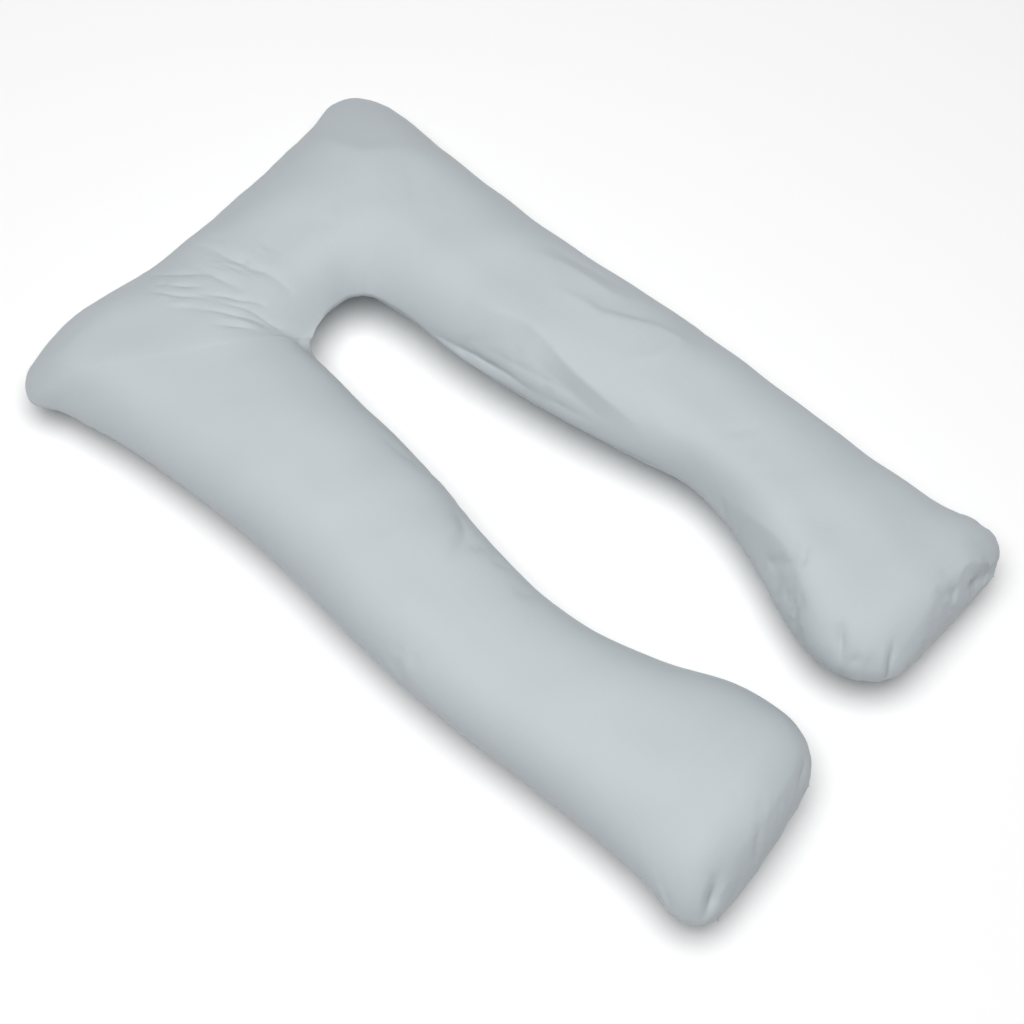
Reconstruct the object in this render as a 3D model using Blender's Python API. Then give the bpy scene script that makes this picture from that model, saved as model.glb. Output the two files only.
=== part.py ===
"""A U-shaped body pillow, lying on its back: one stuffed solid of two cloth panels sewn edge to edge.

The frame is in metres, +Z up. The head end is at +Y and the two feet are at -Y. The pillow rests on z = 0,
with its origin below the middle of its box. Its body is a tube of upright sections, carried from the left
foot round the head to the right foot. Each section spans from the outer seam to the inner seam, swells to a
crown above and lies flat on the surface below.
"""

import bmesh
import bpy
import numpy as np

# Driving dimensions, in metres.
LENGTH = 1.41            # from the head's edge to the feet
WIDTH = 0.815            # across both legs
CROWN_HEIGHT = 0.172     # top of a leg above the surface it lies on
SEAM_HEIGHT = 0.080      # the seam runs round the sides at this height
EAR_SEAM_HEIGHT = 0.066  # along the head's edge and at the corners it droops to this height
FOOT_LENGTH = 0.105      # the last stretch of a leg, where it closes down to its end seam
LEFT_END_BOW = 0.0045    # how far the left foot's end seam curves out in its middle
RIGHT_END_BOW = 0.0005   # and the right foot's

# How the sections are drawn.
FLAT_SHARE = 0.42        # share of each half of a section that lies flat below
UNDER_POWER = 1.45       # sides of the underside: 1 is a quarter ellipse, and 2 a straight slope
FOOT_LEVEL = 2.3         # how full a foot stays towards its end seam, and how fast it then closes
FOOT_CLOSING = 0.45
CREST_REACH = 0.10       # stations over which the crest line evens out the bends of the seams
EVENING_STEPS = 11       # places that are averaged over this reach
BEND_POWER = 1.5         # how fast the cloth leaves the seams' bends for the crest's

CLOTH_COLOUR = (0.51, 0.55, 0.58, 1.0)
CLOTH_ROUGHNESS = 0.6

RING_COUNT = 136         # sections along the tube
TOP_STEPS = 18           # steps of a section over the top
SIDE_STEPS = 5           # steps from a seam down to the flat patch
FLAT_STEPS = 4           # steps across the flat patch
MEASURING_STEPS = 2400   # steps for measuring lengths along the tube

# A station says how far along the tube a section is: 0 at the left foot's end seam, 1.4 at the middle of
# the head and 2.8 at the right foot's end seam. On a leg it runs in step with y.
LAST_STATION = 2.8

# The seams in plan, before they are fitted to LENGTH and WIDTH. Columns: station, x, y.
OUTER_SEAM = np.array([
    (0.000, -0.370, -0.708),   # left foot's end seam
    (0.012, -0.392, -0.697),
    (0.033, -0.407, -0.670),   # left foot's outer corner
    (0.065, -0.405, -0.636),
    (0.110, -0.395, -0.588),
    (0.180, -0.391, -0.520),
    (0.300, -0.389, -0.400),
    (0.450, -0.389, -0.250),
    (0.580, -0.386, -0.120),
    (0.700, -0.376, 0.000),
    (0.820, -0.360, 0.120),
    (0.940, -0.353, 0.250),
    (1.030, -0.354, 0.360),
    (1.090, -0.358, 0.460),
    (1.130, -0.368, 0.540),
    (1.160, -0.376, 0.599),
    (1.180, -0.395, 0.640),    # the head's left ear
    (1.200, -0.374, 0.675),
    (1.225, -0.323, 0.689),
    (1.255, -0.255, 0.699),
    (1.285, -0.195, 0.692),
    (1.325, -0.109, 0.674),
    (1.400, 0.011, 0.664),     # middle of the head's edge, drawn in
    (1.480, 0.130, 0.657),
    (1.540, 0.220, 0.656),
    (1.590, 0.300, 0.656),
    (1.618, 0.353, 0.657),     # the head's right ear
    (1.640, 0.384, 0.642),
    (1.665, 0.404, 0.602),
    (1.695, 0.409, 0.545),
    (1.730, 0.402, 0.475),
    (1.780, 0.393, 0.390),
    (1.850, 0.385, 0.280),
    (1.950, 0.383, 0.150),
    (2.080, 0.384, 0.020),
    (2.200, 0.391, -0.100),
    (2.320, 0.386, -0.220),
    (2.450, 0.377, -0.350),
    (2.600, 0.378, -0.500),
    (2.680, 0.385, -0.583),
    (2.735, 0.391, -0.637),    # right foot's outer corner
    (2.767, 0.392, -0.671),
    (2.788, 0.373, -0.692),
    (2.800, 0.341, -0.705),    # right foot's end seam
])
INNER_SEAM = np.array([
    (0.000, -0.125, -0.689),
    (0.012, -0.104, -0.677),
    (0.033, -0.080, -0.654),
    (0.065, -0.066, -0.621),
    (0.120, -0.062, -0.575),   # left foot's bulge
    (0.190, -0.070, -0.513),
    (0.300, -0.110, -0.403),
    (0.400, -0.138, -0.300),
    (0.500, -0.142, -0.200),   # left leg's waist
    (0.610, -0.126, -0.090),
    (0.740, -0.097, 0.040),
    (0.860, -0.076, 0.165),
    (0.960, -0.059, 0.275),
    (1.050, -0.047, 0.345),
    (1.120, -0.035, 0.366),    # left crotch
    (1.200, -0.024, 0.370),
    (1.290, -0.004, 0.375),
    (1.400, 0.032, 0.386),     # closed end of the gap
    (1.510, 0.068, 0.378),
    (1.600, 0.082, 0.366),     # right crotch
    (1.680, 0.091, 0.359),
    (1.750, 0.100, 0.338),
    (1.840, 0.105, 0.280),
    (1.950, 0.100, 0.175),
    (2.060, 0.111, 0.050),
    (2.180, 0.128, -0.076),
    (2.270, 0.150, -0.170),
    (2.350, 0.156, -0.250),    # right leg's waist
    (2.430, 0.145, -0.326),
    (2.530, 0.107, -0.424),
    (2.610, 0.065, -0.507),
    (2.675, 0.047, -0.572),    # right foot's bulge
    (2.720, 0.049, -0.614),
    (2.750, 0.059, -0.649),
    (2.775, 0.083, -0.677),
    (2.790, 0.110, -0.690),
    (2.800, 0.138, -0.693),
])
# How the filling swells the cloth. Columns: station; crown as a share of CROWN_HEIGHT; where the crest
# lies between the outer seam (0) and the inner seam (1); how level the top stays and how slanting the side
# is, on the outer side and then on the inner side; how far the outer seam droops from SEAM_HEIGHT (0) to
# EAR_SEAM_HEIGHT (1); and how far the inner seam is lifted above SEAM_HEIGHT, in metres.
SWELL = np.array([
    (0.00, 0.90, 0.50, 2.4, 0.48, 2.4, 0.44, 0.6, 0.000),
    (0.10, 0.97, 0.50, 2.5, 0.46, 2.5, 0.42, 0.2, 0.000),
    (0.25, 0.99, 0.48, 2.6, 0.46, 2.4, 0.44, 0.0, 0.000),
    (0.50, 0.94, 0.47, 2.6, 0.46, 2.4, 0.44, 0.0, 0.000),   # left leg's waist
    (0.80, 0.98, 0.46, 2.6, 0.46, 2.4, 0.44, 0.0, 0.000),
    (1.00, 0.99, 0.48, 2.5, 0.46, 2.2, 0.50, 0.0, 0.002),
    (1.10, 0.97, 0.51, 2.5, 0.44, 2.1, 0.62, 0.2, 0.008),
    (1.18, 0.94, 0.54, 2.4, 0.42, 2.1, 0.78, 1.0, 0.014),   # towards the left ear
    (1.25, 0.90, 0.58, 2.1, 0.56, 2.1, 0.92, 1.0, 0.019),
    (1.32, 0.87, 0.61, 2.0, 0.70, 2.1, 1.00, 1.0, 0.021),
    (1.40, 0.85, 0.62, 2.0, 0.75, 2.1, 1.00, 1.0, 0.021),   # middle of the head
    (1.50, 0.87, 0.62, 2.0, 0.72, 2.1, 1.00, 1.0, 0.021),
    (1.57, 0.90, 0.61, 2.0, 0.60, 2.1, 0.95, 1.0, 0.021),
    (1.63, 0.93, 0.61, 2.0, 0.50, 2.1, 0.90, 1.0, 0.021),   # towards the right ear
    (1.70, 0.94, 0.59, 2.0, 0.55, 2.1, 0.85, 0.6, 0.020),
    (1.80, 0.95, 0.57, 2.1, 0.55, 2.2, 0.80, 0.3, 0.018),
    (2.00, 0.95, 0.54, 2.2, 0.52, 2.3, 0.72, 0.0, 0.014),
    (2.35, 0.92, 0.53, 2.3, 0.50, 2.5, 0.56, 0.0, 0.006),   # right leg's waist
    (2.55, 0.95, 0.53, 2.3, 0.48, 2.5, 0.50, 0.0, 0.000),
    (2.70, 0.91, 0.51, 2.3, 0.46, 2.4, 0.46, 0.2, 0.000),
    (2.80, 0.84, 0.50, 2.4, 0.44, 2.4, 0.44, 0.6, 0.000),
])


def smooth(table, stations):
    """The columns of a table at these stations, on a cubic curve through its rows."""
    knots, values = table[:, 0], table[:, 1:]
    steps = np.diff(knots)[:, None]
    slopes = np.diff(values, axis=0) / steps
    tangents = np.empty_like(values)
    tangents[1:-1] = (slopes[:-1] * steps[1:] + slopes[1:] * steps[:-1]) / (steps[:-1] + steps[1:])
    tangents[0], tangents[-1] = slopes[0], slopes[-1]
    row = np.clip(np.searchsorted(knots, stations, side="right") - 1, 0, len(steps) - 1)
    step = steps[row]
    t = (stations[:, None] - knots[row][:, None]) / step
    return (
        values[row] * (1 + 2 * t) * (1 - t) ** 2
        + values[row + 1] * t**2 * (3 - 2 * t)
        + tangents[row] * step * t * (1 - t) ** 2
        + tangents[row + 1] * step * t**2 * (t - 1)
    )


def evened(table, stations):
    """A seam averaged over CREST_REACH stations to each side, and over less than that near the feet."""
    from_end = np.minimum(stations, LAST_STATION - stations)
    reach = CREST_REACH * np.clip(from_end / (3 * CREST_REACH), 0, 1) ** 2
    shifts = np.linspace(-1, 1, EVENING_STEPS + 2)[1:-1]
    weights = 1 - np.abs(shifts)
    found = sum(weight * smooth(table, stations + shift * reach) for shift, weight in zip(shifts, weights))
    return found / weights.sum()


def from_end_seams(outer, inner):
    """Each section's distance from the nearer end seam, as a share of FOOT_LENGTH and at most 1."""
    middle = (outer + inner) / 2
    distance = np.linalg.norm(middle[:, None] - middle[[0, -1]], axis=2).min(axis=1)
    return np.clip(distance / FOOT_LENGTH, 0, 1)


def top_profile(crest, outer_side, inner_side):
    """The top of a section, from the outer seam to the inner seam: how far across, how far up and x.

    With x the share of the way from the crest to the seam, the top stands (1 - x^level)^slant of the way up.
    """
    turn = np.linspace(0, np.pi, TOP_STEPS + 1)
    to_seam = np.abs(np.cos(turn))
    outer_half = turn <= np.pi / 2
    level, slant = (np.where(outer_half, *pair) for pair in zip(outer_side, inner_side))
    across = np.where(outer_half, crest * (1 - to_seam), 1 - (1 - crest) * (1 - to_seam))
    return across, np.clip(1 - to_seam**level, 0, 1) ** slant, to_seam


def under_profile(crest):
    """The underside, from the inner seam to the outer seam, both left out: how far across, how far down and x.

    Each side goes down by sin^UNDER_POWER while it goes in by 1 - cos^UNDER_POWER, to the flat patch.
    """
    turn = np.linspace(0, np.pi / 2, SIDE_STEPS + 1)
    out, down = np.cos(turn) ** UNDER_POWER, np.sin(turn) ** UNDER_POWER
    flat_from, flat_to = crest + (1 - crest) * FLAT_SHARE, crest * (1 - FLAT_SHARE)
    flat = np.linspace(flat_from, flat_to, FLAT_STEPS + 1)[1:-1]
    across = np.concatenate([flat_from + (1 - flat_from) * out, flat, flat_to * (1 - out[::-1])])
    down = np.concatenate([down, np.ones(len(flat)), down[::-1]])
    to_seam = np.abs(across - crest) / np.where(across < crest, crest, 1 - crest)
    return across[1:-1], down[1:-1], to_seam[1:-1]


def ring_stations():
    """Stations spaced evenly by the lengths of the outer seam, the inner seam and the line between them."""
    stations = np.linspace(0, LAST_STATION, MEASURING_STEPS)
    outer, inner = smooth(OUTER_SEAM, stations), smooth(INNER_SEAM, stations)
    lines = (outer, inner, (outer + inner) / 2)
    steps = sum(np.linalg.norm(np.diff(line, axis=0), axis=1) for line in lines)
    along = np.concatenate([[0], np.cumsum(steps)])
    return np.interp(np.linspace(0, along[-1], RING_COUNT), along, stations)


def fitted(points):
    """The points stretched in plan to WIDTH and LENGTH, with the origin below the middle of their box."""
    low, high = points.min(axis=(0, 1)), points.max(axis=(0, 1))
    height = high[2] - low[2]
    origin = np.array([(low[0] + high[0]) / 2, (low[1] + high[1]) / 2, low[2]])
    return (points - origin) * np.array([WIDTH, LENGTH, height]) / (high - low)


def rings():
    """The points of every section: an array of section, step round it, and x, y, z.

    In plan a section follows the seams at its border and the evened seams at its crest, changing from one to
    the other by (1 - x^2)^BEND_POWER.
    """
    stations = ring_stations()
    seams = smooth(OUTER_SEAM, stations), smooth(INNER_SEAM, stations)
    bends = evened(OUTER_SEAM, stations), evened(INNER_SEAM, stations)
    share = from_end_seams(*seams)
    fullness = (1 - (1 - share) ** FOOT_LEVEL) ** FOOT_CLOSING
    bows = np.where(stations < LAST_STATION / 2, LEFT_END_BOW, RIGHT_END_BOW) * (1 - share)
    found = []
    for outer, inner, outer_bend, inner_bend, swell, full, bow in zip(
        *seams, *bends, smooth(SWELL, stations), fullness, bows
    ):
        crown_share, crest, *sides, droop, lift = swell
        top_across, up, top_to_seam = top_profile(crest, sides[:2], sides[2:])
        under_across, down, under_to_seam = under_profile(crest)
        across = np.concatenate([top_across, under_across])
        bend = (1 - np.concatenate([top_to_seam, under_to_seam]) ** 2) ** BEND_POWER
        outer_height = SEAM_HEIGHT + (EAR_SEAM_HEIGHT - SEAM_HEIGHT) * droop
        seam = outer_height + (SEAM_HEIGHT + lift - outer_height) * across
        top, under = np.split(seam, [len(up)])
        crown = crown_share * CROWN_HEIGHT
        height = np.concatenate([top + (crown - top) * full * up, under - under * full * down])
        outer_line = outer + (outer_bend - outer) * bend[:, None]
        inner_line = inner + (inner_bend - inner) * bend[:, None]
        plan = outer_line + (inner_line - outer_line) * across[:, None]
        plan[:, 1] -= bow * 4 * across * (1 - across)
        found.append(np.column_stack([plan, height]))
    return fitted(np.array(found))


def cloth_material():
    material = bpy.data.materials.new("grey_cloth")
    material.use_nodes = True
    shader = material.node_tree.nodes["Principled BSDF"]
    shader.inputs["Base Color"].default_value = CLOTH_COLOUR
    shader.inputs["Roughness"].default_value = CLOTH_ROUGHNESS
    shader.inputs["Metallic"].default_value = 0
    return material


def make_pillow():
    """Skins the sections into one closed tube, whose first and last sections close along the foot seams."""
    shape = bmesh.new()
    loops = [[shape.verts.new(point) for point in section] for section in rings()]
    for loop, following in zip(loops, loops[1:]):
        for step, corner in enumerate(loop):
            after = (step + 1) % len(loop)
            shape.faces.new((corner, loop[after], following[after], following[step]))
    for loop in (loops[0], loops[-1]):
        shape.faces.new(loop)
    bmesh.ops.recalc_face_normals(shape, faces=shape.faces)
    mesh = bpy.data.meshes.new("body_pillow")
    shape.to_mesh(mesh)
    shape.free()
    mesh.shade_smooth()
    mesh.materials.append(cloth_material())
    pillow = bpy.data.objects.new("body_pillow", mesh)
    bpy.context.scene.collection.objects.link(pillow)


def main():
    for old in list(bpy.data.objects):
        bpy.data.objects.remove(old)
    make_pillow()


main()
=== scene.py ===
# %% [markdown]
# # A U-shaped body pillow
#
# The pillow is two U-shaped panels of thin grey cloth, sewn edge to edge, turned right side out and stuffed
# with fibre. There is one plain seam, and it runs round the sides at mid-height. Everything that makes it
# look real is in how that cloth is pulled: it is drawn in where the U bends, slack and puckered at the
# corners, and smooth and taut along the legs.
#
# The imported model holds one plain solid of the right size. It is the frame that the visible cover is built
# around, and it is hidden at the end.

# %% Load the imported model
import math

import bpy
import numpy as np
from mathutils import Matrix, Vector


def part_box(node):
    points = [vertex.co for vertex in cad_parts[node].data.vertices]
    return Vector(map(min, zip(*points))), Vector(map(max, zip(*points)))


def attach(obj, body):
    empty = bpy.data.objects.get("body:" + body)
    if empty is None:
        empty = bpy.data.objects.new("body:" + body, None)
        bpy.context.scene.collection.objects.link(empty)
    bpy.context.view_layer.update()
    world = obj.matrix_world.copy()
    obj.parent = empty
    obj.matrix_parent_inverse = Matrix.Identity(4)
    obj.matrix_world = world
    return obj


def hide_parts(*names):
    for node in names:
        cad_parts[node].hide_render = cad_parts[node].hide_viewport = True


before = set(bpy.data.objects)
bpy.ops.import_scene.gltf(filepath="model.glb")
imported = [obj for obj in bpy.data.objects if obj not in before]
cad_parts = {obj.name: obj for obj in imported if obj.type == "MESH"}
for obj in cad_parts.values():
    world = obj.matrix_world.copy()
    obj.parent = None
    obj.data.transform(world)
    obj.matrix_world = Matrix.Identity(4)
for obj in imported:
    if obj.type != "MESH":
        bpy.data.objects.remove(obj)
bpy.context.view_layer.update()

low, high = (np.array(corner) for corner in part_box("body_pillow"))
print("pillow box, metres:", low.round(3), high.round(3))

# %% [markdown]
# ## The outline
#
# A sewn panel is defined by its seam line. Because the pillow is a tube bent into a U, the seam is kept as
# two lines, the outer one and the inner one, and both are read at the same *station*: 0 at the left foot,
# 1.4 at the middle of the head and 2.8 at the right foot. A station gives one section across the tube. A few
# rows hold the shape, and a smooth curve through them does the rest. No two bends of a stuffed pillow are
# alike, so the two legs have rows of their own.

# %% The seams in plan
LAST_STATION = 2.8
# The pillow's corners in plan, as drawn. The right ear is let out past them by a few millimetres.
DRAWN_LOW = np.array([-0.4085, -0.7080])
DRAWN_HIGH = np.array([0.4090, 0.6990])
# Columns: station, x, y. All are in metres, and a station is roughly the length along the tube.
OUTER_SEAM = np.array([
    (0.000, -0.370, -0.708), (0.012, -0.391, -0.696), (0.033, -0.407, -0.670), (0.065, -0.405, -0.636),
    (0.110, -0.395, -0.588), (0.180, -0.391, -0.520), (0.300, -0.389, -0.400), (0.450, -0.390, -0.250),
    (0.580, -0.387, -0.120), (0.700, -0.376, 0.000), (0.820, -0.360, 0.120), (0.940, -0.353, 0.250),
    (1.030, -0.354, 0.360), (1.090, -0.358, 0.460), (1.130, -0.368, 0.540), (1.160, -0.378, 0.599),
    (1.180, -0.395, 0.640), (1.200, -0.375, 0.676), (1.225, -0.3245, 0.694), (1.255, -0.255, 0.703),
    (1.285, -0.194, 0.694), (1.325, -0.109, 0.675), (1.400, 0.011, 0.665), (1.480, 0.130, 0.659),
    (1.540, 0.220, 0.6595), (1.590, 0.300, 0.6615), (1.618, 0.356, 0.667), (1.640, 0.391, 0.649),
    (1.665, 0.411, 0.604), (1.695, 0.413, 0.545), (1.730, 0.4045, 0.475), (1.780, 0.395, 0.390),
    (1.850, 0.3865, 0.280), (1.950, 0.385, 0.150), (2.080, 0.3875, 0.020), (2.200, 0.392, -0.100),
    (2.320, 0.386, -0.220), (2.450, 0.379, -0.350), (2.600, 0.378, -0.500), (2.680, 0.384, -0.583),
    (2.735, 0.392, -0.637), (2.767, 0.392, -0.671), (2.788, 0.373, -0.692), (2.800, 0.341, -0.705),
])
INNER_SEAM = np.array([
    (0.000, -0.125, -0.689), (0.012, -0.104, -0.677), (0.033, -0.080, -0.654), (0.065, -0.065, -0.621),
    (0.120, -0.060, -0.575), (0.190, -0.0665, -0.512), (0.300, -0.110, -0.403), (0.400, -0.138, -0.300),
    (0.500, -0.142, -0.200), (0.610, -0.126, -0.090), (0.740, -0.096, 0.040), (0.860, -0.074, 0.165),
    (0.960, -0.059, 0.275), (1.050, -0.047, 0.345), (1.120, -0.035, 0.366), (1.200, -0.024, 0.370),
    (1.290, -0.004, 0.3785), (1.345, 0.0135, 0.3825), (1.400, 0.032, 0.3850), (1.455, 0.050, 0.3835),
    (1.510, 0.068, 0.3798), (1.600, 0.082, 0.3670), (1.680, 0.0888, 0.3535), (1.750, 0.0948, 0.3365),
    (1.840, 0.1015, 0.280), (1.950, 0.098, 0.175), (2.060, 0.108, 0.050), (2.180, 0.125, -0.077),
    (2.270, 0.144, -0.171), (2.350, 0.155, -0.250), (2.430, 0.144, -0.326), (2.530, 0.106, -0.424),
    (2.610, 0.065, -0.507), (2.675, 0.045, -0.572), (2.720, 0.048, -0.614), (2.750, 0.060, -0.648),
    (2.775, 0.084, -0.676), (2.790, 0.110, -0.690), (2.800, 0.138, -0.693),
])


def smooth(knots, values, places):
    """Values at the places, on a cubic curve through a row of values at each knot.

    Each row's slope is the mean of its neighbours' slopes, weighted to the nearer one. Between two rows,
    with t the share of the way from the first, the curve adds up the first row times 1 + 2t times the square
    of 1 - t, the second times t squared times 3 - 2t, and the two slopes in the same manner.
    """
    steps = np.diff(knots)[:, None]
    slopes = np.diff(values, axis=0) / steps
    inside = (slopes[:-1] * steps[1:] + slopes[1:] * steps[:-1]) / (steps[:-1] + steps[1:])
    slopes = np.concatenate([slopes[:1], inside, slopes[-1:]])
    row = np.clip(np.searchsorted(knots, places, side="right") - 1, 0, len(steps) - 1)
    step = steps[row]
    t = (places[:, None] - knots[row][:, None]) / step
    blend = values[row] * (1 + 2 * t) * (1 - t) ** 2 + values[row + 1] * t**2 * (3 - 2 * t)
    return blend + step * (slopes[row] * t * (1 - t) ** 2 + slopes[row + 1] * t**2 * (t - 1))


outline = np.concatenate([OUTER_SEAM[:, 1:], INNER_SEAM[:, 1:]])
print("outline drawn", np.ptp(outline, axis=0).round(3), "and the box is", (high - low)[:2].round(3))

# %% [markdown]
# ## The stuffed section
#
# Cut across a leg, the cloth leaves the seam steeply, rounds over and runs nearly level across the top.
# Underneath it curves down to a flat patch, because the pillow lies on a surface and its weight spreads it.
# Each side of the crest has two numbers of its own: how *level* the top stays, and how *slanting* the side
# is. The legs are full, with upright sides. At the inner bend and at the ears the filling is thin, so there
# the cloth slants all the way to the seam.

# %% How the filling swells the cloth
CROWN_HEIGHT = 0.170
SEAM_HEIGHT = 0.080
EAR_SEAM_HEIGHT = 0.066
FOOT_LENGTH = 0.090   # metres over which a foot swells up from its end seam
END_LEVEL, END_SLANT = 2.3, 0.45               # the powers that shape that swell
LEFT_END_BOW, RIGHT_END_BOW = 0.0045, 0.0005   # how far each foot's end seam curves out in its middle
CREST_REACH = 0.13   # stations over which the crest line evens out the bends of the seams
REACH_PLACES = 11    # places over which a curve is averaged
BEND_POWER = 1.2     # how soon the bends of the seams give way to evened ones, towards the crest
FLAT_SHARE = 0.42    # of the way from the crest to each seam: how far the flat patch reaches
UNDER_POWER = 1.70   # of the sides of the underside: 1 is a quarter ellipse, and 2 a straight slope
SIDE_SHARE = 0.32    # share of the underside's columns that curve down to the flat patch, on each side
# Columns: station; crown as a share of CROWN_HEIGHT; where the crest lies, from the outer seam (0) to the
# inner seam (1); level and slant of the outer side; level and slant of the inner side; how far the outer
# seam droops to EAR_SEAM_HEIGHT; and how far the inner seam is lifted, in metres.
SWELL = np.array([
    (0.00, 0.90, 0.50, 2.4, 0.48, 2.4, 0.44, 0.6, 0.000),
    (0.10, 0.97, 0.50, 2.5, 0.46, 2.5, 0.46, 0.2, 0.000),
    (0.20, 0.99, 0.48, 2.6, 0.46, 2.9, 0.62, 0.0, 0.000),
    (0.32, 0.98, 0.48, 2.6, 0.46, 2.6, 0.50, 0.0, 0.000),
    (0.50, 0.94, 0.47, 2.6, 0.46, 2.4, 0.44, 0.0, 0.000),
    (0.80, 0.98, 0.46, 2.6, 0.46, 2.4, 0.46, 0.0, 0.000),
    (0.96, 0.98, 0.48, 2.7, 0.54, 2.3, 0.52, 0.0, 0.003),
    (1.10, 0.95, 0.52, 3.0, 0.68, 2.2, 0.62, 0.3, 0.009),
    (1.18, 0.94, 0.55, 3.4, 0.78, 2.2, 0.74, 1.0, 0.014),
    (1.25, 0.91, 0.59, 4.2, 0.84, 2.1, 0.92, 1.0, 0.014),
    (1.32, 0.87, 0.61, 3.1, 0.90, 2.2, 1.00, 1.0, 0.012),
    (1.40, 0.85, 0.62, 3.4, 0.95, 2.3, 1.00, 1.0, 0.010),
    (1.50, 0.87, 0.62, 3.2, 0.95, 2.4, 1.00, 1.0, 0.009),
    (1.57, 0.90, 0.61, 2.7, 1.00, 2.4, 0.95, 1.0, 0.011),
    (1.63, 0.93, 0.61, 2.4, 1.00, 2.3, 0.90, 1.0, 0.015),
    (1.70, 0.94, 0.59, 2.7, 0.88, 2.1, 0.85, 0.6, 0.020),
    (1.80, 0.94, 0.57, 2.8, 0.68, 2.2, 0.80, 0.3, 0.018),
    (2.00, 0.95, 0.54, 2.9, 0.64, 2.3, 0.72, 0.0, 0.014),
    (2.20, 0.93, 0.54, 2.7, 0.60, 2.5, 0.68, 0.0, 0.010),
    (2.35, 0.92, 0.53, 2.3, 0.50, 3.0, 0.74, 0.0, 0.006),
    (2.46, 0.94, 0.53, 2.3, 0.49, 3.8, 0.88, 0.0, 0.003),
    (2.56, 0.95, 0.53, 2.3, 0.48, 3.4, 0.76, 0.0, 0.000),
    (2.64, 0.94, 0.52, 2.3, 0.47, 2.6, 0.48, 0.0, 0.000),
    (2.70, 0.91, 0.51, 2.3, 0.46, 2.4, 0.46, 0.2, 0.000),
    (2.80, 0.84, 0.50, 2.4, 0.44, 2.4, 0.44, 0.6, 0.000),
])


def evened(table, stations, reach):
    """The curve through a table, averaged over a reach of stations to each side.

    A place counts fully in the middle and evenly less outwards, down to nothing where the reach ends.
    """
    shifts = np.linspace(-1, 1, REACH_PLACES + 2)[1:-1]
    weights = (1 - np.abs(shifts)) / (1 - np.abs(shifts)).sum()
    return sum(
        weight * smooth(table[:, 0], table[:, 1:], stations + shift * reach)
        for shift, weight in zip(shifts, weights)
    )


def sections(stations):
    """Both seams and the crest line in plan, and what shapes each section, with a row for each station.

    The swell is 1 along the tube and falls to 0 at each foot's end seam. It is 1 less x to the power
    END_LEVEL, all to the power END_SLANT, where x goes from 0 at FOOT_LENGTH from the seam to 1 at the seam.
    """
    outer = smooth(OUTER_SEAM[:, 0], OUTER_SEAM[:, 1:], stations)
    inner = smooth(INNER_SEAM[:, 0], INNER_SEAM[:, 1:], stations)
    crown, crest, *sides, droop, lift = smooth(SWELL[:, 0], SWELL[:, 1:], stations).T
    from_end = np.minimum(stations, LAST_STATION - stations)
    reach = CREST_REACH * np.clip(from_end / (3 * CREST_REACH), 0, 1) ** 2
    bends = [evened(table, stations, reach) for table in (OUTER_SEAM, INNER_SEAM)]
    middle = (outer + inner) / 2
    from_ends = np.linalg.norm(middle[:, None] - middle[[0, -1]], axis=2).min(axis=1)
    full = (1 - (1 - np.clip(from_ends / FOOT_LENGTH, 0, 1)) ** END_LEVEL) ** END_SLANT
    bow = np.where(stations < LAST_STATION / 2, LEFT_END_BOW, RIGHT_END_BOW)
    bow = bow * np.clip(1 - from_ends / FOOT_LENGTH, 0, 1)
    outer_height = SEAM_HEIGHT + (EAR_SEAM_HEIGHT - SEAM_HEIGHT) * droop
    inner_height = SEAM_HEIGHT + lift
    return (outer, inner), bends, crown * CROWN_HEIGHT, crest, sides, outer_height, inner_height, full, bow


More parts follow.
